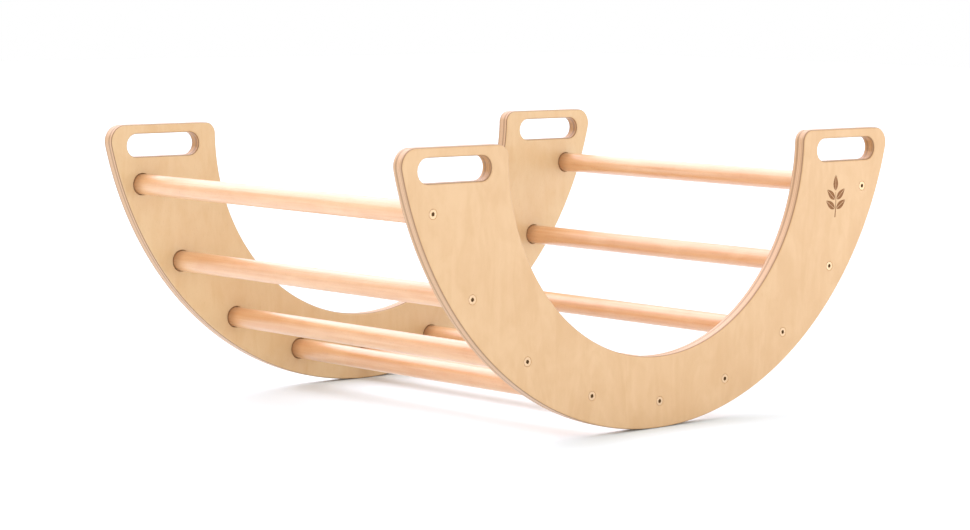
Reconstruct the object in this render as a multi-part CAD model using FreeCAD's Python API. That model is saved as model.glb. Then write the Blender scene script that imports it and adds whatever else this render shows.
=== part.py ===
import FreeCAD, Part

import math
import os

from FreeCAD import Vector

# Wooden rocker for children: two U-shaped plywood side panels whose outer edges are rocking
# arcs, joined by nine round rungs. Upside down it stands on its four horns as a climbing arch.
#
# Frame: millimetres. X runs along the rocking direction, Y along the rungs with the front
# panel at -Y, and Z up. The origin is on the floor, midway between the two lowest points.

# ---- overall sizes
ROCKER_RADIUS = 460.0        # outer edge of the side panels, the arc that rolls on the floor
PANEL_HEIGHT = 378.0         # floor to the flat tops of the horns
OVERALL_WIDTH = 604.0        # outer face to outer face
PANEL_THICKNESS = 18.0       # birch plywood

# ---- side panel outline
WEB_BELOW_OPENING = 94.0     # panel depth at the lowest point, under the U opening
OPENING_RADIUS = 274.0       # inner edge of the U
OUTER_CORNER_RADIUS = 22.0   # horn corner on the rocking edge
INNER_CORNER_RADIUS = 16.0   # horn corner on the opening
EDGE_ROUND = 2.5             # round-over on every long edge of the panel

# ---- hand slots, one in each horn
SLOT_HEIGHT = 31.0
SLOT_BELOW_TOP = 28.0        # horn top to slot centre line
SLOT_FROM_OPENING = 29.0     # wood between the slot's inner end and the opening
SLOT_FROM_ROCKER = 25.0      # wood between the slot's outer end and the rocking edge

# ---- rungs
RUNG_COUNT = 9
RUNG_DIAMETER = 28.0
RUNG_CIRCLE_INSET = 28.0     # rung circle's radius, under the rocking radius
LOWEST_RUNG_HEIGHT = 35.0    # axis of the middle rung above the floor
END_RUNG_BELOW_TOP = 80.0    # horn top to the axis of the first and last rung
RUNG_END_CHAMFER = 1.0

# ---- blind sockets in the inner faces
SOCKET_DEPTH = 8.0
SOCKET_CLEARANCE = 0.4       # radial gap round the rung
SOCKET_MOUTH_CHAMFER = 0.8

# ---- countersunk socket screws, M6
SCREW_DIAMETER = 6.0
SCREW_LENGTH = 25.0
SCREW_HEAD_DIAMETER = 12.0
SCREW_HEAD_LAND = 0.5        # cylindrical rim above the 90 degree cone
SCREW_HEAD_SUNK = 0.3        # head below the panel face
SCREW_TIP_CHAMFER = 0.8
HEX_ACROSS_FLATS = 4.0
HEX_DEPTH = 2.6
SCREW_HOLE_CLEARANCE = 0.3   # radial gap round the shank in the panel

# ---- threaded inserts in the rung ends
INSERT_DIAMETER = 10.0
INSERT_LENGTH = 18.0
INSERT_DRIVE_FLATS = 7.0     # hex recess that drives the insert
INSERT_DRIVE_DEPTH = 2.5
INSERT_HOLE_SPARE = 3.0      # drilled depth behind the insert

# ---- values that follow
OUTER_FACE = -OVERALL_WIDTH / 2
INNER_FACE = OUTER_FACE + PANEL_THICKNESS
SOCKET_FLOOR = INNER_FACE - SOCKET_DEPTH
OPENING_CENTRE_HEIGHT = WEB_BELOW_OPENING + OPENING_RADIUS
RUNG_CIRCLE_RADIUS = ROCKER_RADIUS - RUNG_CIRCLE_INSET
RUNG_CENTRE_HEIGHT = LOWEST_RUNG_HEIGHT + RUNG_CIRCLE_RADIUS
UP = Vector(0, 0, 1)
INWARD = Vector(0, 1, 0)


def arc(centre, radius, start, end):
    """Arc in the XZ plane between two angles, in degrees from +X towards +Z."""
    points = []
    for angle in (start, (start + end) / 2, end):
        turn = math.radians(angle)
        points.append(centre + Vector(radius * math.cos(turn), 0, radius * math.sin(turn)))
    return Part.Arc(*points).toShape()


def horn_corner(arc_height, centre_distance, corner_radius):
    """Centre of a corner arc that touches the horn top and a circle centred at arc_height,
    and the angle at which it touches that circle."""
    rise = PANEL_HEIGHT - corner_radius - arc_height
    reach = math.sqrt(centre_distance ** 2 - rise ** 2)
    centre = Vector(reach, 0, PANEL_HEIGHT - corner_radius)
    return centre, math.degrees(math.atan2(rise, reach))


def across(point):
    """The same point on the other horn."""
    return Vector(-point.x, point.y, point.z)


def panel_face():
    """The U outline: rocking arc, two flat horn tops with rounded corners, and the opening."""
    outer_corner, outer_angle = horn_corner(
        ROCKER_RADIUS, ROCKER_RADIUS - OUTER_CORNER_RADIUS, OUTER_CORNER_RADIUS)
    inner_corner, inner_angle = horn_corner(
        OPENING_CENTRE_HEIGHT, OPENING_RADIUS + INNER_CORNER_RADIUS, INNER_CORNER_RADIUS)
    outer_top = outer_corner + UP * OUTER_CORNER_RADIUS
    inner_top = inner_corner + UP * INNER_CORNER_RADIUS
    rocker_centre = Vector(0, 0, ROCKER_RADIUS)
    opening_centre = Vector(0, 0, OPENING_CENTRE_HEIGHT)
    edges = [
        arc(rocker_centre, ROCKER_RADIUS, -180 - outer_angle, outer_angle),
        arc(outer_corner, OUTER_CORNER_RADIUS, outer_angle, 90),
        Part.makeLine(outer_top, inner_top),
        arc(inner_corner, INNER_CORNER_RADIUS, 90, 180 + inner_angle),
        arc(opening_centre, OPENING_RADIUS, inner_angle, -180 - inner_angle),
        arc(across(inner_corner), INNER_CORNER_RADIUS, -inner_angle, 90),
        Part.makeLine(across(inner_top), across(outer_top)),
        arc(across(outer_corner), OUTER_CORNER_RADIUS, 90, 180 - outer_angle),
    ]
    return Part.Face(Part.Wire(Part.__sortEdges__(edges)))


def circle_reach(radius, centre_height, z):
    """How far out in X a circle centred over the origin reaches at height z."""
    return math.sqrt(radius ** 2 - (z - centre_height) ** 2)


def slot_face():
    """Stadium outline of the +X horn's hand slot, set in from both edges of the horn."""
    z = PANEL_HEIGHT - SLOT_BELOW_TOP
    radius = SLOT_HEIGHT / 2
    rise = UP * radius
    inner_end = circle_reach(OPENING_RADIUS, OPENING_CENTRE_HEIGHT, z) + SLOT_FROM_OPENING
    outer_end = circle_reach(ROCKER_RADIUS, ROCKER_RADIUS, z) - SLOT_FROM_ROCKER
    inner = Vector(inner_end + radius, 0, z)
    outer = Vector(outer_end - radius, 0, z)
    edges = [
        arc(outer, radius, -90, 90),
        Part.makeLine(outer + rise, inner + rise),
        arc(inner, radius, 90, 270),
        Part.makeLine(inner - rise, outer - rise),
    ]
    return Part.Face(Part.Wire(Part.__sortEdges__(edges)))


def rung_places():
    """Points where the rung axes cross the plane Y = 0, from the -X horn to the +X horn."""
    end_rung_height = PANEL_HEIGHT - END_RUNG_BELOW_TOP
    end_turn = math.acos((RUNG_CENTRE_HEIGHT - end_rung_height) / RUNG_CIRCLE_RADIUS)
    places = []
    for number in range(RUNG_COUNT):
        turn = end_turn * (2 * number / (RUNG_COUNT - 1) - 1)
        places.append(Vector(RUNG_CIRCLE_RADIUS * math.sin(turn), 0,
                             RUNG_CENTRE_HEIGHT - RUNG_CIRCLE_RADIUS * math.cos(turn)))
    return places


def turned(profile, place):
    """Solid of revolution about a rung axis, from (radius, y) points along its outline."""
    points = [place + Vector(radius, y, 0) for radius, y in profile]
    face = Part.Face(Part.makePolygon(points + points[:1]))
    return face.revolve(place, INWARD, 360)


def hexagon(place, y, flats, depth):
    """Hexagonal prism about a rung axis, from y inwards."""
    radius = flats / math.sqrt(3)
    corners = []
    for number in range(6):
        turn = math.radians(60 * number)
        corners.append(place + Vector(radius * math.cos(turn), y, radius * math.sin(turn)))
    return Part.Face(Part.makePolygon(corners + corners[:1])).extrude(INWARD * depth)


def shank_start():
    """Y at which the screw's 90 degree cone has come down to the shank."""
    cone_depth = (SCREW_HEAD_DIAMETER - SCREW_DIAMETER) / 2
    return OUTER_FACE + SCREW_HEAD_SUNK + SCREW_HEAD_LAND + cone_depth


def screw(place):
    """Countersunk screw with a hex socket, driven inwards from the front panel's face."""
    head_top = OUTER_FACE + SCREW_HEAD_SUNK
    tip = head_top + SCREW_LENGTH
    shank = SCREW_DIAMETER / 2
    head = SCREW_HEAD_DIAMETER / 2
    solid = turned([
        (0, head_top),
        (head, head_top),
        (head, head_top + SCREW_HEAD_LAND),
        (shank, shank_start()),
        (shank, tip - SCREW_TIP_CHAMFER),
        (shank - SCREW_TIP_CHAMFER, tip),
        (0, tip),
    ], place)
    return solid.cut(hexagon(place, head_top, HEX_ACROSS_FLATS, HEX_DEPTH))


def screw_hole(place):
    """Clearance hole whose countersink carries on the line of the screw's cone to the face."""
    hole = SCREW_DIAMETER / 2 + SCREW_HOLE_CLEARANCE
    cone_apex = shank_start() + SCREW_DIAMETER / 2
    mouth = cone_apex - OUTER_FACE
    return turned([
        (0, OUTER_FACE),
        (mouth, OUTER_FACE),
        (hole, cone_apex - hole),
        (hole, SOCKET_FLOOR),
        (0, SOCKET_FLOOR),
    ], place)


def rung_socket(place):
    """Blind hole for a rung end, with a chamfered mouth in the inner face."""
    radius = RUNG_DIAMETER / 2 + SOCKET_CLEARANCE
    return turned([
        (0, SOCKET_FLOOR),
        (radius, SOCKET_FLOOR),
        (radius, INNER_FACE - SOCKET_MOUTH_CHAMFER),
        (radius + SOCKET_MOUTH_CHAMFER, INNER_FACE),
        (0, INNER_FACE),
    ], place)


def front_panel(places):
    """Side panel cut from one sheet, rounded over, then drilled for rungs and screws."""
    sheet = panel_face().extrude(INWARD * PANEL_THICKNESS)
    slot = slot_face().extrude(INWARD * PANEL_THICKNESS)
    sheet = sheet.cut([slot, slot.mirror(Vector(0, 0, 0), Vector(1, 0, 0))])
    rims = [edge for edge in sheet.Edges if edge.BoundBox.YLength < EDGE_ROUND / 100]
    sheet = sheet.makeFillet(EDGE_ROUND, rims)
    sheet.translate(INWARD * OUTER_FACE)
    cutters = [rung_socket(place) for place in places] + [screw_hole(place) for place in places]
    return sheet.cut(cutters)


def insert(place):
    """Threaded insert, flush with the rung end, with a hex recess that drives it in."""
    bore = SCREW_DIAMETER / 2
    body = INSERT_DIAMETER / 2
    solid = turned([
        (bore, SOCKET_FLOOR),
        (body, SOCKET_FLOOR),
        (body, SOCKET_FLOOR + INSERT_LENGTH),
        (bore, SOCKET_FLOOR + INSERT_LENGTH),
    ], place)
    return solid.cut(hexagon(place, SOCKET_FLOOR, INSERT_DRIVE_FLATS, INSERT_DRIVE_DEPTH))


def rung(place):
    """Dowel from socket floor to socket floor, drilled at both ends for the inserts."""
    radius = RUNG_DIAMETER / 2
    drilled = INSERT_DIAMETER / 2
    drilled_to = SOCKET_FLOOR + INSERT_LENGTH + INSERT_HOLE_SPARE
    half = [
        (0, drilled_to),
        (drilled, drilled_to),
        (drilled, SOCKET_FLOOR),
        (radius - RUNG_END_CHAMFER, SOCKET_FLOOR),
        (radius, SOCKET_FLOOR + RUNG_END_CHAMFER),
    ]
    other_half = [(r, -y) for r, y in reversed(half)]
    return turned(half + other_half, place)


def to_rear(shape):
    """The same piece turned half round about Z, which makes it the rear panel's."""
    turned_shape = shape.copy()
    turned_shape.rotate(Vector(0, 0, 0), UP, 180)
    return turned_shape


def build():
    """Every piece of the rocker, by node name."""
    places = rung_places()
    panel = front_panel(places)
    pieces = {"side_panel_front": panel, "side_panel_rear": to_rear(panel)}
    for number, place in enumerate(places, start=1):
        pieces[f"rung_{number}"] = rung(place)
        pieces[f"screw_front_{number}"] = screw(place)
        pieces[f"insert_front_{number}"] = insert(place)
        # Turning half round about Z swaps the horns, so the rear piece starts on the other one.
        pieces[f"screw_rear_{number}"] = to_rear(screw(across(place)))
        pieces[f"insert_rear_{number}"] = to_rear(insert(across(place)))
    return pieces


os.makedirs("parts", exist_ok=True)
for name, shape in build().items():
    shape.exportStep(f"parts/{name}.step")
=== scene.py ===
import math

import bpy
from mathutils import Matrix, Quaternion, Vector, geometry, kdtree, noise


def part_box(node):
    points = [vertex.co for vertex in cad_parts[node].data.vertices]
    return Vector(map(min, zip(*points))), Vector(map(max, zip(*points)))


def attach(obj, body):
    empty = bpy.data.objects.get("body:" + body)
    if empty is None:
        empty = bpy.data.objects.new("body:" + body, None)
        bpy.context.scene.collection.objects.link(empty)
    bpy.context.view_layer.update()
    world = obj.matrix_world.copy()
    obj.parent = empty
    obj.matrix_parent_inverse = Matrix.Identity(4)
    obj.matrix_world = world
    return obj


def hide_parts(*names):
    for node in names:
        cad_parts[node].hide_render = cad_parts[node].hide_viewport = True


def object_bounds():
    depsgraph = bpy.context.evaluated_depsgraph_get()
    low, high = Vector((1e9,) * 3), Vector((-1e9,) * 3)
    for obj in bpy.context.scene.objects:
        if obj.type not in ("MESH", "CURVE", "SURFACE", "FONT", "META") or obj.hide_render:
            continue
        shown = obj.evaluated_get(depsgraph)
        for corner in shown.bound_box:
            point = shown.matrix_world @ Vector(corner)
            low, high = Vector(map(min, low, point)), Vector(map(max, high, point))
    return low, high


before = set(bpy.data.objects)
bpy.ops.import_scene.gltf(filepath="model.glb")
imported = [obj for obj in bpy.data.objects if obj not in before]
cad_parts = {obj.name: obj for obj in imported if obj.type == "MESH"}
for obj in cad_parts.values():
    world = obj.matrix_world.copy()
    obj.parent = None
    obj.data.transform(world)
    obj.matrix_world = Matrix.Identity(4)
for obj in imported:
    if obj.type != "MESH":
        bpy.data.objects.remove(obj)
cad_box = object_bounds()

# ---- Camera
# A long lens at about knee height, some four metres off and to the left of the front panel.
# It is rolled by half a degree, as a hand-levelled tripod leaves it.
CAMERA_PLACE = Vector((-2.6646, -2.8343, 0.5877))
CAMERA_AZIMUTH = math.radians(-42.890)
CAMERA_ELEVATION = math.radians(5.877)
CAMERA_ROLL = math.radians(0.613)
SENSOR_WIDTH = 36.0
LENS = 106.02
VIEW_REACH = 60

camera = bpy.data.objects.new("camera", bpy.data.cameras.new("camera"))
bpy.context.scene.collection.objects.link(camera)
camera.data.sensor_width = SENSOR_WIDTH
camera.data.lens = LENS
camera.data.clip_end = VIEW_REACH
towards_camera = Vector((
    math.sin(CAMERA_AZIMUTH) * math.cos(CAMERA_ELEVATION),
    -math.cos(CAMERA_AZIMUTH) * math.cos(CAMERA_ELEVATION),
    math.sin(CAMERA_ELEVATION),
))
level = (-towards_camera).to_track_quat("-Z", "Y")
camera.rotation_mode = "QUATERNION"
camera.rotation_quaternion = level @ Quaternion((0, 0, 1), CAMERA_ROLL)
camera.location = CAMERA_PLACE
bpy.context.scene.camera = camera


# ---- Studio floor and light
# White seamless paper on the floor of a white room, which gives even light. A broad bank of
# lights above and behind whitens the tops of the rungs, and two softboxes in front fill.
class Wire:
    """An output socket of a shader node. Arithmetic on it adds Math nodes to its tree."""

    def __init__(self, tree, socket=None):
        self.tree = tree
        self.socket = socket

    def node(self, kind, settings, sockets, output=0):
        """A new node of that kind. Its settings are set first, then its sockets' values or links."""
        made = self.tree.nodes.new(kind)
        for name, value in settings.items():
            setattr(made, name, value)
        for name, value in sockets.items():
            if isinstance(value, Wire):
                self.tree.links.new(value.socket, made.inputs[name])
            else:
                made.inputs[name].default_value = value
        return Wire(self.tree, made.outputs[output] if made.outputs else None)

    def maths(self, operation, *values, clamp=False):
        settings = {"operation": operation, "use_clamp": clamp}
        return self.node("ShaderNodeMath", settings, dict(enumerate(values)))

    def __add__(self, other):
        return self.maths("ADD", self, other)

    def __radd__(self, other):
        return self.maths("ADD", other, self)

    def __sub__(self, other):
        return self.maths("SUBTRACT", self, other)

    def __rsub__(self, other):
        return self.maths("SUBTRACT", other, self)

    def __mul__(self, other):
        return self.maths("MULTIPLY", self, other)

    def __rmul__(self, other):
        return self.maths("MULTIPLY", other, self)

    def __truediv__(self, other):
        return self.maths("DIVIDE", self, other)

    def __abs__(self):
        return self.maths("ABSOLUTE", self)


def new_material(name):
    """A new material, the wire with no socket that starts its nodes, and the place in the piece."""
    material = bpy.data.materials.new(name)
    material.use_nodes = True
    material.node_tree.nodes.clear()
    tree = Wire(material.node_tree)
    return material, tree, tree.node("ShaderNodeTexCoord", {}, {}, output="Object")


def finish_surface(tree, sockets):
    """The Principled surface at the end of a material."""
    surface = tree.node("ShaderNodeBsdfPrincipled", {}, sockets)
    tree.node("ShaderNodeOutputMaterial", {}, {"Surface": surface})


def along(tree, axis, vector):
    """How far a vector goes along one axis."""
    return tree.node("ShaderNodeSeparateXYZ", {}, {"Vector": vector}, output=axis)


def stretched(tree, place, x, y, z):
    """A place whose axes are scaled, so that what is drawn there is drawn out along them."""
    settings = {"operation": "MULTIPLY"}
    return tree.node("ShaderNodeVectorMath", settings, {0: place, 1: (x, y, z)})


def cloud(tree, place, detail=2.0, roughness=0.5, distortion=0.0):
    """Soft noise from 0 to 1, about one patch per unit of the place."""
    sockets = {"Vector": place, "Scale": 1.0, "Detail": detail, "Roughness": roughness,
               "Distortion": distortion}
    return tree.node("ShaderNodeTexNoise", {}, sockets)


def rise(tree, value, low, high):
    """0 where value is under low, 1 where it is over high, and smooth between."""
    settings = {"interpolation_type": "SMOOTHSTEP"}
    sockets = {"Value": value, "From Min": low, "From Max": high}
    return tree.node("ShaderNodeMapRange", settings, sockets)


def mixed(tree, amount, first, second):
    """The first colour where the amount is 0, the second where it is 1, and mixed between."""
    sockets = {0: amount, 6: first, 7: second}
    return tree.node("ShaderNodeMix", {"data_type": "RGBA"}, sockets, output=2)


def relief(tree, strength, depth, height):
    """Fine bumps of that depth in metres, where height is 1."""
    return tree.node("ShaderNodeBump", {}, {"Strength": strength, "Distance": depth, "Height": height})


FLOOR_SIZE = 24.0
PAPER_WHITE = (0.80, 0.87, 0.89, 1)

paper, tree, place = new_material("white_paper")
fibre = cloud(tree, stretched(tree, place, 900, 900, 900), detail=3)
finish_surface(tree, {
    "Base Color": PAPER_WHITE,
    "Roughness": 0.82 + 0.08 * fibre,
    "Specular IOR Level": 0.2,
})
half_floor = FLOOR_SIZE / 2
floor_mesh = bpy.data.meshes.new("floor")
floor_mesh.from_pydata(
    [(-half_floor, -half_floor, 0), (half_floor, -half_floor, 0),
     (half_floor, half_floor, 0), (-half_floor, half_floor, 0)], [], [(0, 1, 2, 3)])
floor_mesh.materials.append(paper)
floor = bpy.data.objects.new("floor", floor_mesh)
bpy.context.scene.collection.objects.link(floor)

ROOM_LIGHT = 1.0
world = bpy.data.worlds.new("white_room")
world.use_nodes = True
world.node_tree.nodes["Background"].inputs["Color"].default_value = (1, 1, 1, 1)
world.node_tree.nodes["Background"].inputs["Strength"].default_value = ROOM_LIGHT
bpy.context.scene.world = world
bpy.context.scene.view_settings.view_transform = "Standard"


def direction(azimuth, elevation):
    """A level direction from -Y round towards +X, raised by the elevation, both in degrees."""
    level = Vector((math.sin(math.radians(azimuth)), -math.cos(math.radians(azimuth)), 0))
    return level * math.cos(math.radians(elevation)) + Vector((0, 0, math.sin(math.radians(elevation))))


def studio_light(name, kind, towards):
    """A new light that shines from a direction onto the rocker."""
    light = bpy.data.objects.new(name, bpy.data.lights.new(name, kind))
    bpy.context.scene.collection.objects.link(light)
    light.rotation_euler = (-towards).to_track_quat("-Z", "Y").to_euler()
    return light


BACK_LIGHT = 2.6
BACK_TINT = (1.0, 0.91, 1.04)
BACK_SPREAD = math.radians(84)
BACK_DIRECTION = direction(180, 57)
back_bank = studio_light("back_light_bank", "SUN", BACK_DIRECTION)
back_bank.data.energy = BACK_LIGHT
back_bank.data.color = BACK_TINT
back_bank.data.angle = BACK_SPREAD

FILL_ELEVATION = 4
rocker_middle = (cad_box[0] + cad_box[1]) / 2
for side, azimuth, distance, size, energy in (
    ("right", 42, 2.6, 1.4, 12),
    ("left", -48, 5.0, 2.4, 29),
):
    towards = direction(azimuth, FILL_ELEVATION)
    fill = studio_light(f"fill_softbox_{side}", "AREA", towards)
    fill.data.size = size
    fill.data.energy = energy
    fill.location = rocker_middle + towards * distance


# ---- Side panels
# Two U-shaped panels routed from 18 mm birch plywood, thirteen plies, with every long edge
# rounded over and sanded. Nine blind sockets in the inner face hold the rungs, and a clear
# satin lacquer covers the whole panel. A leaf sprig is burnt into the front panel's horn.
ROCKER_RADIUS = 0.460
OPENING_RADIUS = 0.274
WEB_BELOW_OPENING = 0.094
OUTER_CORNER_RADIUS = 0.022
INNER_CORNER_RADIUS = 0.016
EDGE_ROUND = 0.0025
ROUND_STEPS = 8
SLOT_HEIGHT = 0.031
SLOT_BELOW_TOP = 0.028
SLOT_FROM_OPENING = 0.029
SLOT_FROM_ROCKER = 0.025
SOCKET_DEPTH = 0.008
SOCKET_CLEARANCE = 0.0004
SOCKET_CHAMFER = 0.0008
SCREW_HOLE_RADIUS = 0.0033
COUNTERSINK_RADIUS = 0.0068
PLY_COUNT = 13
FACE_PLY = 0.0007
GLUE_GROOVE_DEPTH = 0.00005
GLUE_GROOVE_HALF = 0.00014
ARC_STEP = 0.005
LEAST_ARC_STEPS = 10
HOLE_POINTS = 48
FACE_GRID = 0.014
INSIDE_ONLY = 1
SAME_POINT = 1e-7
WOOD_SHARP = 35
RUNG_NUMBERS = range(1, 10)

panel_low, panel_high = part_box("side_panel_front")
panel_height = panel_high.z
outer_face = panel_low.y
inner_face = panel_high.y
thickness = inner_face - outer_face
inner_ply = (thickness - 2 * FACE_PLY) / (PLY_COUNT - 2)
rung_low, rung_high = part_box("rung_1")
rung_radius = (rung_high.z - rung_low.z) / 2
rung_middles = [sum(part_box(f"rung_{number}"), Vector()) / 2 for number in RUNG_NUMBERS]
opening_height = WEB_BELOW_OPENING + OPENING_RADIUS


def arc(x, z, radius, start, end, side=1):
    """Points (x, z, out x, out z) on an arc, short of its end. The out direction leaves the wood,
    towards the centre where side is -1."""
    length = abs(math.radians(end - start)) * radius
    count = max(LEAST_ARC_STEPS, round(length / ARC_STEP))
    points = []
    for number in range(count):
        turn = math.radians(start + (end - start) * number / count)
        out = Vector((math.cos(turn), math.sin(turn)))
        points.append((x + radius * out.x, z + radius * out.y, side * out.x, side * out.y))
    return points


def straight(start, end, out):
    """Points on a straight edge, short of its end."""
    count = max(2, round((end - start).length / ARC_STEP))
    steps = [start.lerp(end, number / count) for number in range(count)]
    return [(point.x, point.y, out.x, out.y) for point in steps]


def horn_corner(arc_height, centre_distance, corner_radius):
    """Centre of a horn corner that touches the top and a circle, and its angle on that circle."""
    drop = panel_height - corner_radius - arc_height
    reach = math.sqrt(centre_distance ** 2 - drop ** 2)
    centre = Vector((reach, panel_height - corner_radius))
    return centre, math.degrees(math.atan2(drop, reach))


def panel_outline():
    """The U, counterclockwise as the front panel is seen from outside."""
    outer, outer_angle = horn_corner(
        ROCKER_RADIUS, ROCKER_RADIUS - OUTER_CORNER_RADIUS, OUTER_CORNER_RADIUS)
    inner, inner_angle = horn_corner(
        opening_height, OPENING_RADIUS + INNER_CORNER_RADIUS, INNER_CORNER_RADIUS)
    up = Vector((0, 1))
    outer_top = Vector((outer.x, panel_height))
    inner_top = Vector((inner.x, panel_height))
    left_outer_top = Vector((-outer.x, panel_height))
    left_inner_top = Vector((-inner.x, panel_height))
    return (
        arc(0, ROCKER_RADIUS, ROCKER_RADIUS, -180 - outer_angle, outer_angle)
        + arc(outer.x, outer.y, OUTER_CORNER_RADIUS, outer_angle, 90)
        + straight(outer_top, inner_top, up)
        + arc(inner.x, inner.y, INNER_CORNER_RADIUS, 90, 180 + inner_angle)
        + arc(0, opening_height, OPENING_RADIUS, inner_angle, -180 - inner_angle, side=-1)
        + arc(-inner.x, inner.y, INNER_CORNER_RADIUS, -inner_angle, 90)
        + straight(left_inner_top, left_outer_top, up)
        + arc(-outer.x, outer.y, OUTER_CORNER_RADIUS, 90, 180 - outer_angle)
    )


def circle_reach(radius, centre_height, z):
    """How far out in X a circle centred over the origin reaches at height z."""
    return math.sqrt(radius ** 2 - (z - centre_height) ** 2)


def slot_outline(horn):
    """A hand slot's stadium outline, clockwise, on the +X horn (1) or the -X horn (-1)."""
    z = panel_height - SLOT_BELOW_TOP
    radius = SLOT_HEIGHT / 2
    inner = circle_reach(OPENING_RADIUS, opening_height, z) + SLOT_FROM_OPENING + radius
    outer = circle_reach(ROCKER_RADIUS, ROCKER_RADIUS, z) - SLOT_FROM_ROCKER - radius
    left, right = sorted((horn * inner, horn * outer))
    top, bottom = z + radius, z - radius
    down, up = Vector((0, -1)), Vector((0, 1))
    return (
        straight(Vector((left, top)), Vector((right, top)), down)
        + arc(right, z, radius, 90, -90, side=-1)
        + straight(Vector((right, bottom)), Vector((left, bottom)), up)
        + arc(left, z, radius, -90, -270, side=-1)
    )


def hole_outline(x, z, count=HOLE_POINTS):
    """Directions round a hole's centre, clockwise. A profile's negative reach is its radius."""
    points = []
    for number in range(count):
        turn = -2 * math.pi * number / count
        points.append((x, z, -math.cos(turn), -math.sin(turn)))
    return points


class Stock:
    """The vertices and faces of a piece while it is being shaped."""

    def __init__(self):
        self.vertices = []
        self.faces = []
        self.finishes = []

    def ring(self, outline, reach, y):
        """One ring of vertices at depth y, moved by reach along each point's out direction."""
        first = len(self.vertices)
        for x, z, out_x, out_z in outline:
            self.vertices.append((x + reach * out_x, y, z + reach * out_z))
        return list(range(first, len(self.vertices)))

    def skin(self, first, second, finish=0):
        """A band of faces between two rings."""
        count = len(first)
        for number in range(count):
            after = (number + 1) % count
            self.faces.append((first[number], second[number], second[after], first[after]))
            self.finishes.append(finish)

    def sweep(self, outline, profile, finish=0):
        """Rings along a profile of (reach, y), skinned. Gives its first and last ring."""
        rings = [self.ring(outline, reach, y) for reach, y in profile]
        for first, second in zip(rings, rings[1:]):
            self.skin(first, second, finish)
        return rings[0], rings[-1]

    def flat(self, rings, y, towards, finish=0, between=()):
        """A flat face at depth y inside the first ring and outside the others, with extra points
        between them. It faces -Y where towards is -1."""
        indices = [index for ring in rings for index in ring]
        points = [Vector((self.vertices[i][0], self.vertices[i][2])) for i in indices]
        edges = []
        start = 0
        for ring in rings:
            count = len(ring)
            edges += [(start + n, start + (n + 1) % count) for n in range(count)]
            start += count
        points += between
        indices += [None] * len(between)
        found = geometry.delaunay_2d_cdt(points, edges, [], INSIDE_ONLY, SAME_POINT)
        places = {new: indices[old[0]] for new, old in enumerate(found[3])}
        fences = {frozenset((indices[a], indices[b])) for a, b in edges}
        faces_at = {}
        sides_of = []
        for number, face in enumerate(found[2]):
            sides = []
            for a, b in zip(face, face[1:] + face[:1]):
                fenced = None not in (places[a], places[b])
                fenced = fenced and frozenset((places[a], places[b])) in fences
                sides.append((frozenset((a, b)), fenced))
                faces_at.setdefault(frozenset((a, b)), []).append(number)
            sides_of.append(sides)
        wall = {indices[n] for n in range(len(rings[0]))}
        kept = {
            number for number, face in enumerate(found[2])
            if any(fenced and {places[v] for v in side} <= wall for side, fenced in sides_of[number])
        }
        waiting = list(kept)
        while waiting:
            for side, fenced in sides_of[waiting.pop()]:
                for number in [] if fenced else faces_at[side]:
                    if number not in kept:
                        kept.add(number)
                        waiting.append(number)
        for number in sorted(kept):
            corners = []
            for new in found[2][number]:
                if places[new] is None:
                    places[new] = len(self.vertices)
                    self.vertices.append((found[0][new].x, y, found[0][new].y))
                corners.append(places[new])
            self.faces.append(tuple(corners if towards < 0 else reversed(corners)))
            self.finishes.append(finish)

    def cap(self, ring, towards, finish=0):
        """One face across a ring that runs counterclockwise seen from -Y."""
        self.faces.append(tuple(ring if towards < 0 else reversed(ring)))
        self.finishes.append(finish)

    def piece(self, name, materials, sharp=WOOD_SHARP):
        """The finished object, with its faces smooth up to the sharp angle in degrees."""
        mesh = bpy.data.meshes.new(name)
        mesh.from_pydata(self.vertices, [], self.faces)
        for material in materials:
            mesh.materials.append(material)
        mesh.polygons.foreach_set("material_index", self.finishes)
        mesh.polygons.foreach_set("use_smooth", [True] * len(self.faces))
        mesh.set_sharp_from_angle(angle=math.radians(sharp))
        made = bpy.data.objects.new(name, mesh)
        bpy.context.scene.collection.objects.link(made)
        return made


def edge_profile():
    """The panel's edge from its outer to its inner face: round-over, fine grooves at the glue
    lines, and round-over."""
    depths = {}
    for number in range(ROUND_STEPS + 1):
        turn = math.radians(90 * number / ROUND_STEPS)
        depth = EDGE_ROUND * (1 - math.cos(turn))
        depths[depth] = 0
        depths[thickness - depth] = 0
    for line in range(PLY_COUNT - 1):
        glue = FACE_PLY + inner_ply * line
        for depth in [d for d in depths if abs(d - glue) < 2 * GLUE_GROOVE_HALF]:
            del depths[depth]
        depths[glue - GLUE_GROOVE_HALF] = 0
        depths[glue] = GLUE_GROOVE_DEPTH
        depths[glue + GLUE_GROOVE_HALF] = 0
    profile = []
    for depth in sorted(depths):
        into = max(0, EDGE_ROUND - min(depth, thickness - depth))
        inset = EDGE_ROUND - math.sqrt(EDGE_ROUND ** 2 - into ** 2)
        profile.append((-inset - depths[depth], outer_face + depth))
    return profile


MARK_MIDDLE = Vector((0.341, 0.286))
MARK_DEPTH = 0.00018
LEAF_LENGTH = 0.021
LEAF_WIDTH = 0.0085
LEAF_RIB = 0.0006
LEAF_POINTS = 14
LEAF_BELLY = 0.8
LEAF_HEIGHTS = (0.30, 0.62)
TIP_LEAF_HEIGHT = 0.92
LEAF_LEAN = 58
LEAN_LOST_PER_PAIR = 8
STEM_LENGTH = 0.040
STEM_UNDER_MIDDLE = 0.72
STEM_END = 0.86
STEM_WIDTH = 0.0014
STEM_FOOT = 1.4
STEM_BOW = 0.0012
STEM_POINTS = 16


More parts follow.
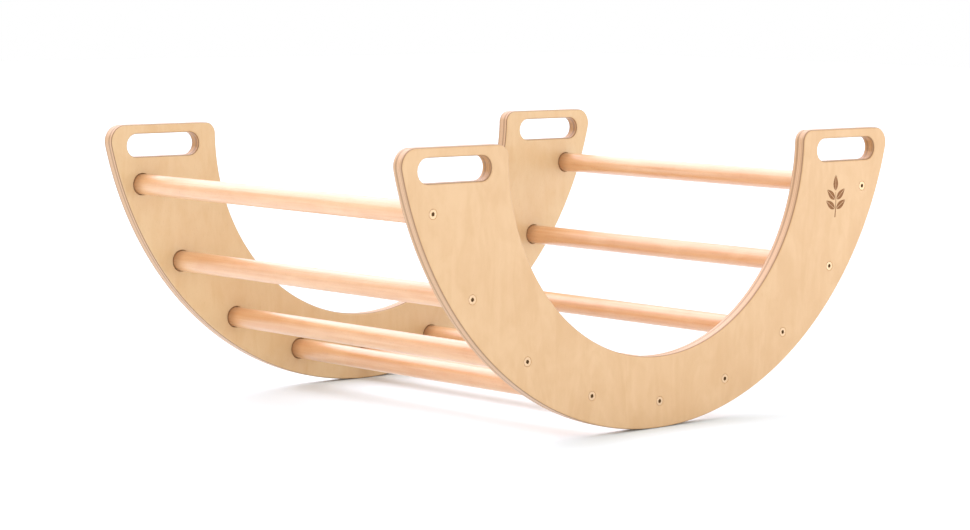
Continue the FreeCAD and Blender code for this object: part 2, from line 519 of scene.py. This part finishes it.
def half_leaf(foot, lean, side):
    """One side of a leaf, from its foot along a leaning rib, as a clockwise outline."""
    tipwards = Vector((math.sin(lean), math.cos(lean)))
    across = Vector((tipwards.y, -tipwards.x)) * side
    rib = []
    margin = []
    for number in range(LEAF_POINTS + 1):
        share = number / LEAF_POINTS
        bulge = LEAF_RIB + LEAF_WIDTH / 2 * math.sin(math.pi * share ** LEAF_BELLY)
        rib.append(foot + tipwards * LEAF_LENGTH * share + across * LEAF_RIB / 2)
        margin.append(foot + tipwards * LEAF_LENGTH * share + across * bulge)
    points = rib + margin[::-1]
    return points if side > 0 else points[::-1]


def stem_point(share):
    """A point on the sprig's slightly bowed stem."""
    foot = MARK_MIDDLE - Vector((0, STEM_LENGTH * STEM_UNDER_MIDDLE))
    return foot + Vector((STEM_BOW * math.sin(share * math.pi), STEM_LENGTH * share))


def sprig_outlines():
    """A stem with two pairs of leaning leaves and one at its tip, as clockwise outlines."""
    outlines = []
    for pair, share in enumerate(LEAF_HEIGHTS):
        for horn in (-1, 1):
            start = stem_point(share) + Vector((horn * (STEM_WIDTH / 2 + 2 * LEAF_RIB), 0))
            lean = horn * math.radians(LEAF_LEAN - LEAN_LOST_PER_PAIR * pair)
            outlines += [half_leaf(start, lean, side) for side in (-1, 1)]
    outlines += [half_leaf(stem_point(TIP_LEAF_HEIGHT), 0, side) for side in (-1, 1)]
    left = []
    right = []
    for number in range(STEM_POINTS + 1):
        share = STEM_END * number / STEM_POINTS
        half = Vector((STEM_WIDTH / 2 * (STEM_FOOT - share), 0))
        left.append(stem_point(share) - half)
        right.append(stem_point(share) + half)
    outlines.append(left + right[::-1])
    return outlines


def face_points(rings, stock):
    """A grid of points on the panel's face, clear of every outline drawn on it."""
    edge_points = [stock.vertices[index] for ring in rings for index in ring]
    near = kdtree.KDTree(len(edge_points))
    for index, point in enumerate(edge_points):
        near.insert((point[0], 0, point[2]), index)
    near.balance()
    reach = math.ceil(ROCKER_RADIUS / FACE_GRID)
    points = []
    for row in range(math.ceil(panel_height / FACE_GRID)):
        for column in range(-reach, reach + 1):
            x = (column + row % 2 / 2) * FACE_GRID
            z = (row + 0.5) * FACE_GRID
            in_rocker = math.hypot(x, z - ROCKER_RADIUS) < ROCKER_RADIUS
            in_opening = math.hypot(x, z - opening_height) < OPENING_RADIUS
            clear = near.find((x, 0, z))[2] > FACE_GRID / 2
            if in_rocker and not in_opening and z < panel_height and clear:
                points.append(Vector((x, z)))
    return points


def shape_panel(name, materials, marked):
    """A side panel in the front panel's place."""
    stock = Stock()
    outer_rings = []
    inner_rings = []
    for outline, finish in ((panel_outline(), 0), (slot_outline(1), 2), (slot_outline(-1), 2)):
        first, last = stock.sweep(outline, edge_profile(), finish)
        outer_rings.append(first)
        inner_rings.append(last)
    socket_radius = rung_radius + SOCKET_CLEARANCE
    socket_floor = inner_face - SOCKET_DEPTH
    countersink_end = outer_face + COUNTERSINK_RADIUS - SCREW_HOLE_RADIUS
    for middle in rung_middles:
        first, last = stock.sweep(hole_outline(middle.x, middle.z), [
            (-COUNTERSINK_RADIUS, outer_face),
            (-SCREW_HOLE_RADIUS, countersink_end),
            (-SCREW_HOLE_RADIUS, socket_floor),
            (-socket_radius / 2, socket_floor),
            (-socket_radius, socket_floor),
            (-socket_radius, socket_floor + SOCKET_DEPTH / 2),
            (-socket_radius, inner_face - SOCKET_CHAMFER),
            (-socket_radius - SOCKET_CHAMFER, inner_face),
        ], finish=1)
        outer_rings.append(first)
        inner_rings.append(last)
    if marked:
        for points in sprig_outlines():
            outline = [(point.x, point.y, 0, 0) for point in points]
            cut = [(0, outer_face), (0, outer_face + MARK_DEPTH)]
            first, last = stock.sweep(outline, cut, finish=3)
            outer_rings.append(first)
            stock.flat([last], outer_face + MARK_DEPTH, -1, finish=3)
    stock.flat(outer_rings, outer_face, -1, between=face_points(outer_rings, stock))
    stock.flat(inner_rings, inner_face, 1, between=face_points(inner_rings, stock))
    return stock.piece(name, materials)


LONG_GRAIN = (0.650, 0.412, 0.235, 1)
END_GRAIN = (0.510, 0.285, 0.135, 1)
SLOT_WALL_LONG_GRAIN = (0.580, 0.315, 0.115, 1)
SLOT_WALL_END_GRAIN = (0.360, 0.160, 0.045, 1)
DARK_GRAIN = (0.285, 0.145, 0.058, 1)
GLUE = (0.200, 0.110, 0.060, 1)
# The dark of the drilled holes' walls: partly drill-browned wood, partly painted shade.
DRILLED_AND_SHADED = (0.300, 0.155, 0.065, 1)
COUNTERSUNK = (0.640, 0.400, 0.200, 1)
COUNTERSINK_DEPTH = 0.004
BURNT = (0.360, 0.165, 0.062, 1)
CHARRED = (0.200, 0.080, 0.028, 1)
BURN_LINES = 6500
DARK_PLIES = {0: 1.0, 1: 0.50, 6: 0.50, 7: 0.90, PLY_COUNT - 3: 1.0}
PLY_BLUR = 0.02
VENEER_SPLICE = -0.190
SPLICE_BLUR = 0.0006


def birch_plywood(name, light, deep, long_grain=LONG_GRAIN, end_grain=END_GRAIN):
    """Lacquered birch plywood, with its face veneer between a light and a deep colour."""
    material, tree, place = new_material(name)
    facing = tree.node("ShaderNodeNewGeometry", {}, {}, output="Normal")
    facing_x = along(tree, "X", facing)
    facing_z = along(tree, "Z", facing)
    ply = (-outer_face - FACE_PLY - abs(along(tree, "Y", place))) / inner_ply
    ply_number = tree.maths("FLOOR", ply)
    in_ply = tree.maths("FRACT", ply)
    glue = 1 - rise(tree, tree.maths("MINIMUM", in_ply, 1 - in_ply), 0.02, 0.09)
    crossed = 1 - tree.maths("FLOORED_MODULO", ply_number, 2.0)
    end_share = facing_z * facing_z * (1 - crossed) + facing_x * facing_x * crossed
    under_veneer = rise(tree, ply, -PLY_BLUR, PLY_BLUR)
    last_ply = PLY_COUNT - 2
    inside = under_veneer * (1 - rise(tree, ply, last_ply - PLY_BLUR, last_ply + PLY_BLUR))
    ply_tone = tree.node("ShaderNodeTexWhiteNoise", {"noise_dimensions": "1D"}, {"W": ply_number})
    dark_ply = 0
    for number, darkness in DARK_PLIES.items():
        dark_ply = tree.maths("COMPARE", ply_number, float(number), 0.4) * darkness + dark_ply
    # Rotary-cut birch face: broad flames drawn out upwards, streaks, fine fibre, and short pores.
    flame = cloud(tree, stretched(tree, place, 16, 16, 4.5), detail=3, roughness=0.55, distortion=0.9)
    ripple = tree.maths("SINE", 42 * flame + 8 * cloud(tree, stretched(tree, place, 5, 5, 1.2)))
    band = cloud(tree, stretched(tree, place, 78, 78, 5), detail=2, roughness=0.5, distortion=0.3)
    streak = cloud(tree, stretched(tree, place, 170, 170, 9), detail=3, roughness=0.6)
    fibre = cloud(tree, stretched(tree, place, 1300, 1300, 45), detail=2)
    pore = rise(tree, cloud(tree, stretched(tree, place, 1900, 1900, 160), detail=1), 0.66, 0.76)
    patch = cloud(tree, stretched(tree, place, 7, 7, 7), detail=2)
    mottle = cloud(tree, stretched(tree, place, 34, 34, 21), detail=3, roughness=0.6, distortion=0.5)
    across = along(tree, "X", place)
    splice = rise(tree, across, VENEER_SPLICE - SPLICE_BLUR, VENEER_SPLICE + SPLICE_BLUR)
    splice = splice * (1 - under_veneer)
    figure = 0.22 * flame + 0.03 * ripple + 0.07 * band + 0.06 * streak + 0.06 * fibre
    figure = figure + 0.20 * patch + 0.42 * mottle + 0.05 * splice
    veneer = mixed(tree, rise(tree, figure, 0.34, 0.72), light, deep)
    veneer = mixed(tree, 0.35 * pore, veneer, end_grain)
    # The edge: each ply shows its side or its end grain, with glue between.
    edge_streak = cloud(tree, stretched(tree, place, 60, 2600, 60), detail=3, roughness=0.6)
    edge_speck = cloud(tree, stretched(tree, place, 1500, 1500, 1500), detail=2)
    end_amount = 0.70 * end_share + 0.30 * (edge_streak - 0.5) + 0.25 * (ply_tone - 0.5)
    end_amount = tree.maths("ADD", end_amount, 0.10 * (edge_speck - 0.5), clamp=True)
    edge = mixed(tree, end_amount, long_grain, end_grain)
    edge = mixed(tree, 0.85 * dark_ply, edge, DARK_GRAIN)
    edge = mixed(tree, 0.50 * glue, edge, GLUE)
    height = 0.5 * fibre + 0.3 * streak - 0.9 * pore * (1 - inside) - 0.8 * glue * inside
    height = height + 0.5 * inside * edge_streak + 0.4 * inside * end_share * edge_speck
    finish_surface(tree, {
        "Base Color": mixed(tree, inside, veneer, edge),
        "Roughness": 0.40 + 0.10 * streak + 0.06 * patch + 0.14 * inside * end_share,
        "Specular IOR Level": 0.45,
        "Coat Weight": 0.25 + 0.25 * inside,
        "Coat Roughness": 0.28,
        "Normal": relief(tree, 0.35, 0.00006, height),
    })
    return material


FRONT_VENEER = ((0.682, 0.438, 0.226, 1), (0.610, 0.366, 0.170, 1))
# Painted light: the rear panel's veneer is paler and yellower than the front's, making up for the shade
# on its inner face.
REAR_VENEER_PAINTED_PALER = ((0.715, 0.498, 0.270, 1), (0.660, 0.428, 0.210, 1))
SLOT_WALL_GRAINS = (SLOT_WALL_LONG_GRAIN, SLOT_WALL_END_GRAIN)
front_birch = birch_plywood("birch_plywood_front", *FRONT_VENEER)
rear_birch_painted_paler = birch_plywood("birch_plywood_rear", *REAR_VENEER_PAINTED_PALER)
# The walls of the hand slots are browner and darker than the panel's outer edge.
front_slot_birch = birch_plywood("birch_plywood_front_slot", *FRONT_VENEER, *SLOT_WALL_GRAINS)
rear_slot_birch_painted_paler = birch_plywood("birch_plywood_rear_slot", *REAR_VENEER_PAINTED_PALER, *SLOT_WALL_GRAINS)

# The holes' walls are darker than the cut wood: partly raw, drill-browned end grain, partly painted
# shade in the sockets. The countersinks keep a paler wood colour.
drilled, tree, place = new_material("birch_drilled_hole")
cut_marks = cloud(tree, stretched(tree, place, 220, 2400, 220), detail=3, roughness=0.6)
scorch = cloud(tree, stretched(tree, place, 120, 500, 120), detail=2)
from_middle = abs(along(tree, "Y", place))
countersink = rise(tree, from_middle, -outer_face - COUNTERSINK_DEPTH, -outer_face)
drilled_and_shaded_tone = mixed(tree, 0.6 * cut_marks + 0.4 * scorch, END_GRAIN, DRILLED_AND_SHADED)
finish_surface(tree, {
    "Base Color": mixed(tree, countersink, drilled_and_shaded_tone, COUNTERSUNK),
    "Roughness": 0.70 + 0.2 * cut_marks,
    "Specular IOR Level": 0.3,
    "Normal": relief(tree, 0.5, 0.00008, cut_marks),
})

burnt, tree, place = new_material("birch_burnt_mark")
scorch = cloud(tree, stretched(tree, place, 500, 500, 500), detail=4, roughness=0.65)
line = tree.maths("SINE", BURN_LINES * along(tree, "Z", place))
tone = rise(tree, scorch + 0.10 * line, 0.35, 0.75)
finish_surface(tree, {
    "Base Color": mixed(tree, tone, CHARRED, BURNT),
    "Roughness": 0.62 + 0.2 * scorch,
    "Specular IOR Level": 0.3,
    "Normal": relief(tree, 0.5, 0.00008, scorch + 0.3 * line),
})

front_finishes = [front_birch, drilled, front_slot_birch, burnt]
front_panel = shape_panel("side_panel_front_wood", front_finishes, marked=True)
rear_finishes = [rear_birch_painted_paler, drilled, rear_slot_birch_painted_paler]
rear_panel = shape_panel("side_panel_rear_wood", rear_finishes, marked=False)
rear_panel.data.transform(Matrix.Rotation(math.pi, 4, "Z"))
for panel, node in ((front_panel, "side_panel_front"), (rear_panel, "side_panel_rear")):
    blend_faces = panel.modifiers.new("faces_lead_normals", "WEIGHTED_NORMAL")
    blend_faces.keep_sharp = True
    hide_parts(node)
    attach(panel, "root")


# ---- Rungs
# Nine beech dowels, 28 mm through, turned smooth and lacquered. Their ends are chamfered to
# enter the sockets and drilled for the threaded inserts that the screws pull up against.
RUNG_CHAMFER = 0.001
INSERT_HOLE_RADIUS = 0.005
INSERT_HOLE_DEPTH = 0.021
RUNG_POINTS = 64
RUNG_STEP = 0.012
RUNG_WAVER = 0.00006
WAVER_ACROSS = 60
WAVER_ALONG = 9
WAVER_SHIFT = 5
BEECH_LIGHT = (0.765, 0.455, 0.232, 1)
BEECH_DEEP = (0.655, 0.312, 0.122, 1)
BEECH_RAY = (0.500, 0.260, 0.130, 1)
# Painted shade near the panels: the brown the rungs darken to, and how far along them it reaches.
PAINTED_JOINT_SHADE = (0.330, 0.140, 0.050, 1)
PAINTED_SHADE_REACH = 0.024
PAINTED_SHADE_WAVER = 0.004

beech, tree, place = new_material("beech_lacquered")
flow = cloud(tree, stretched(tree, place, 14, 3, 14), detail=2)
growth = cloud(tree, stretched(tree, place, 300, 7, 300), detail=3, distortion=0.4)
streak = cloud(tree, stretched(tree, place, 90, 4, 90), detail=3)
fibre = cloud(tree, stretched(tree, place, 1600, 50, 1600), detail=2)
ray = rise(tree, cloud(tree, stretched(tree, place, 1500, 320, 1500), detail=0), 0.70, 0.78)
blotch = cloud(tree, stretched(tree, place, 42, 16, 42), detail=3, roughness=0.6, distortion=0.6)
figure = 0.32 * growth + 0.24 * streak + 0.12 * flow + 0.30 * blotch + 0.10 * fibre
tone = mixed(tree, rise(tree, figure, 0.38, 0.70), BEECH_LIGHT, BEECH_DEEP)
tone = mixed(tree, 0.45 * ray, tone, BEECH_RAY)
# Painted shade: both ends of each rung darken to brown where they meet the panels, in the panels'
# shade.
shade_waver_along_rung = PAINTED_SHADE_WAVER * (cloud(tree, stretched(tree, place, 90, 90, 90)) - 0.5)
reach_towards_panel = abs(along(tree, "Y", place)) + shade_waver_along_rung
shade_near_panel = rise(tree, reach_towards_panel, -inner_face - PAINTED_SHADE_REACH, -inner_face)
tone = mixed(tree, 0.70 * shade_near_panel, tone, PAINTED_JOINT_SHADE)
finish_surface(tree, {
    "Base Color": tone,
    "Roughness": 0.33 + 0.08 * growth + 0.06 * ray,
    "Specular IOR Level": 0.9,
    "Coat Weight": 0.85 + 0.15 * flow,
    "Coat Roughness": 0.35,
    "Normal": relief(tree, 0.3, 0.00005, 0.6 * fibre + 0.4 * growth - 0.6 * ray),
})


def dowel_outline(x, z):
    """Directions round a dowel's axis, counterclockwise. A profile's reach is its radius."""
    return [(px, pz, -out_x, -out_z) for px, pz, out_x, out_z in hole_outline(x, z, RUNG_POINTS)[::-1]]


for number in RUNG_NUMBERS:
    low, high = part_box(f"rung_{number}")
    middle = (low + high) / 2
    half_length = (high.y - low.y) / 2
    steps = round(2 * (half_length - RUNG_CHAMFER) / RUNG_STEP)
    body_start = -half_length + RUNG_CHAMFER
    body = [(rung_radius, body_start * (1 - 2 * step / steps)) for step in range(steps + 1)]
    entry = [
        (INSERT_HOLE_RADIUS, INSERT_HOLE_DEPTH - half_length),
        (INSERT_HOLE_RADIUS, -half_length),
        (rung_radius - RUNG_CHAMFER, -half_length),
    ]
    exit_end = [(reach, -y) for reach, y in entry[::-1]]
    stock = Stock()
    first, last = stock.sweep(dowel_outline(middle.x, middle.z), entry + body + exit_end)
    stock.cap(first, -1)
    stock.cap(last, 1)
    for index, (x, y, z) in enumerate(stock.vertices):
        out = Vector((x - middle.x, 0, z - middle.z))
        if out.length > INSERT_HOLE_RADIUS * 1.1:
            lengthwise = y * WAVER_ALONG + WAVER_SHIFT * number
            waver = noise.noise(Vector((x * WAVER_ACROSS, lengthwise, z * WAVER_ACROSS)))
            out *= 1 - RUNG_WAVER / rung_radius * (1 + waver)
            stock.vertices[index] = (middle.x + out.x, y, middle.z + out.z)
    rung = stock.piece(f"rung_{number}_dowel", [beech])
    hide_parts(f"rung_{number}")
    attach(rung, "root")


# ---- Screws
# Eighteen M6 countersunk socket screws in nickel-plated steel, one through each panel into
# each rung end. Their heads sit just under the face, and a 4 mm hex key drives them.
HEAD_SUNK = 0.0003
HEAD_RADIUS = 0.006
HEAD_LAND = 0.0005
HEAD_EDGE = 0.0002
SHANK_RADIUS = 0.003
SCREW_TIP = 0.0008
HEX_HALF_FLATS = 0.0022
HEX_DEPTH = 0.0026
HEX_CHAMFER = 0.0003
HEX_FLOOR = 0.0005
SCREW_POINTS = 48
SCREW_SHARP = 28
KEY_TURN = 37
# A warm tan on the nickel: a painted reflection of the birch round the heads.
NICKEL_WITH_PAINTED_WARMTH = (0.65, 0.45, 0.28, 1)
NICKEL_DEEP_WITH_PAINTED_WARMTH = (0.54, 0.37, 0.22, 1)
# The dark browns painted into the hex sockets as shade.
PAINTED_SOCKET_SHADE = (0.160, 0.085, 0.030, 1)
PAINTED_SOCKET_BROWN = (0.260, 0.150, 0.060, 1)

# The nickel is tinted warm tan, a painted reflection of the birch round the heads.
steel, tree, place = new_material("nickel_plated_steel")
brushed = cloud(tree, stretched(tree, place, 2500, 2500, 2500), detail=3, roughness=0.7)
bloom = cloud(tree, stretched(tree, place, 400, 400, 400), detail=2)
finish_surface(tree, {
    "Base Color": mixed(tree, bloom, NICKEL_WITH_PAINTED_WARMTH, NICKEL_DEEP_WITH_PAINTED_WARMTH),
    "Metallic": 1.0,
    "Roughness": 0.24 + 0.16 * bloom + 0.08 * brushed,
    "Normal": relief(tree, 0.25, 0.00003, brushed),
})

# Painted shade: the hex socket's walls and floor are dark brown, standing in for the shade deep inside
# it.
painted_socket_finish, tree, place = new_material("screw_socket_painted_shade")
shade_mottle = cloud(tree, stretched(tree, place, 1500, 1500, 1500), detail=3)
finish_surface(tree, {
    "Base Color": mixed(tree, shade_mottle, PAINTED_SOCKET_SHADE, PAINTED_SOCKET_BROWN),
    "Metallic": 0.4 + 0.3 * shade_mottle,
    "Roughness": 0.55 + 0.2 * shade_mottle,
    "Normal": relief(tree, 0.3, 0.00003, shade_mottle),
})


def hex_outline(x, z, turned):
    """Directions round a hexagon's centre whose lengths reach its sides at a reach of 1."""
    points = []
    for number in range(SCREW_POINTS):
        turn = -2 * math.pi * number / SCREW_POINTS
        off_flat = (turn + turned) % (math.pi / 3) - math.pi / 6
        length = 1 / math.cos(off_flat)
        points.append((x, z, -math.cos(turn) * length, -math.sin(turn) * length))
    return points


def shape_screw(name, middle, length, turned):
    """A screw in the front panel's place, from its head's face inwards."""
    stock = Stock()
    head = outer_face + HEAD_SUNK
    tip = head + length
    cone_end = head + HEAD_LAND + HEAD_RADIUS - SHANK_RADIUS
    round_out = [(px, pz, -ox, -oz) for px, pz, ox, oz in
                 hole_outline(middle.x, middle.z, SCREW_POINTS)]
    outside = [stock.ring(round_out, reach, y) for reach, y in (
        (HEAD_RADIUS - HEAD_EDGE, head),
        (HEAD_RADIUS, head + HEAD_EDGE),
        (HEAD_RADIUS, head + HEAD_LAND),
        (SHANK_RADIUS, cone_end),
        (SHANK_RADIUS, tip - SCREW_TIP),
        (SHANK_RADIUS - SCREW_TIP, tip),
    )]
    for first, second in zip(outside, outside[1:]):
        stock.skin(second, first)
    hexagon = hex_outline(middle.x, middle.z, turned)
    driver = [stock.ring(hexagon, -reach, y) for reach, y in (
        (HEX_HALF_FLATS + HEX_CHAMFER, head),
        (HEX_HALF_FLATS, head + HEX_CHAMFER),
        (HEX_HALF_FLATS, head + HEX_DEPTH - HEX_FLOOR),
        (HEX_HALF_FLATS / 8, head + HEX_DEPTH),
    )]
    for first, second in zip(driver, driver[1:]):
        stock.skin(first, second, finish=1)
    stock.skin(outside[0], driver[0])
    stock.cap(driver[-1][::-1], -1, finish=1)
    stock.cap(outside[-1][::-1], 1)
    return stock.piece(name, [steel, painted_socket_finish], sharp=SCREW_SHARP)


for number in RUNG_NUMBERS:
    for end in ("front", "rear"):
        node = f"screw_{end}_{number}"
        low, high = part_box(node)
        middle = (low + high) / 2
        if end == "rear":
            middle.x = -middle.x
        turned = math.radians(KEY_TURN * number)
        screw = shape_screw(f"{node}_steel", middle, high.y - low.y, turned)
        if end == "rear":
            screw.data.transform(Matrix.Rotation(math.pi, 4, "Z"))
        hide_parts(node)
        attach(screw, "root")


# ---- Inserts
# Eighteen threaded inserts pressed into the rung ends. They are hidden once the rocker is
# assembled, so the plain turned bodies stay and get a rolled, yellowish zinc finish.
ZINC_YELLOW = (0.72, 0.60, 0.34, 1)
ZINC_GREY = (0.60, 0.52, 0.42, 1)

insert_zinc, tree, place = new_material("insert_yellow_zinc")
bloom = cloud(tree, stretched(tree, place, 300, 300, 300), detail=3)
scuff = cloud(tree, stretched(tree, place, 2000, 600, 2000), detail=2)
finish_surface(tree, {
    "Base Color": mixed(tree, bloom, ZINC_YELLOW, ZINC_GREY),
    "Metallic": 1.0,
    "Roughness": 0.30 + 0.2 * scuff,
    "Normal": relief(tree, 0.3, 0.00004, scuff),
})
for number in RUNG_NUMBERS:
    for end in ("front", "rear"):
        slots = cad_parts[f"insert_{end}_{number}"].material_slots
        for slot in slots:
            slot.material = insert_zinc
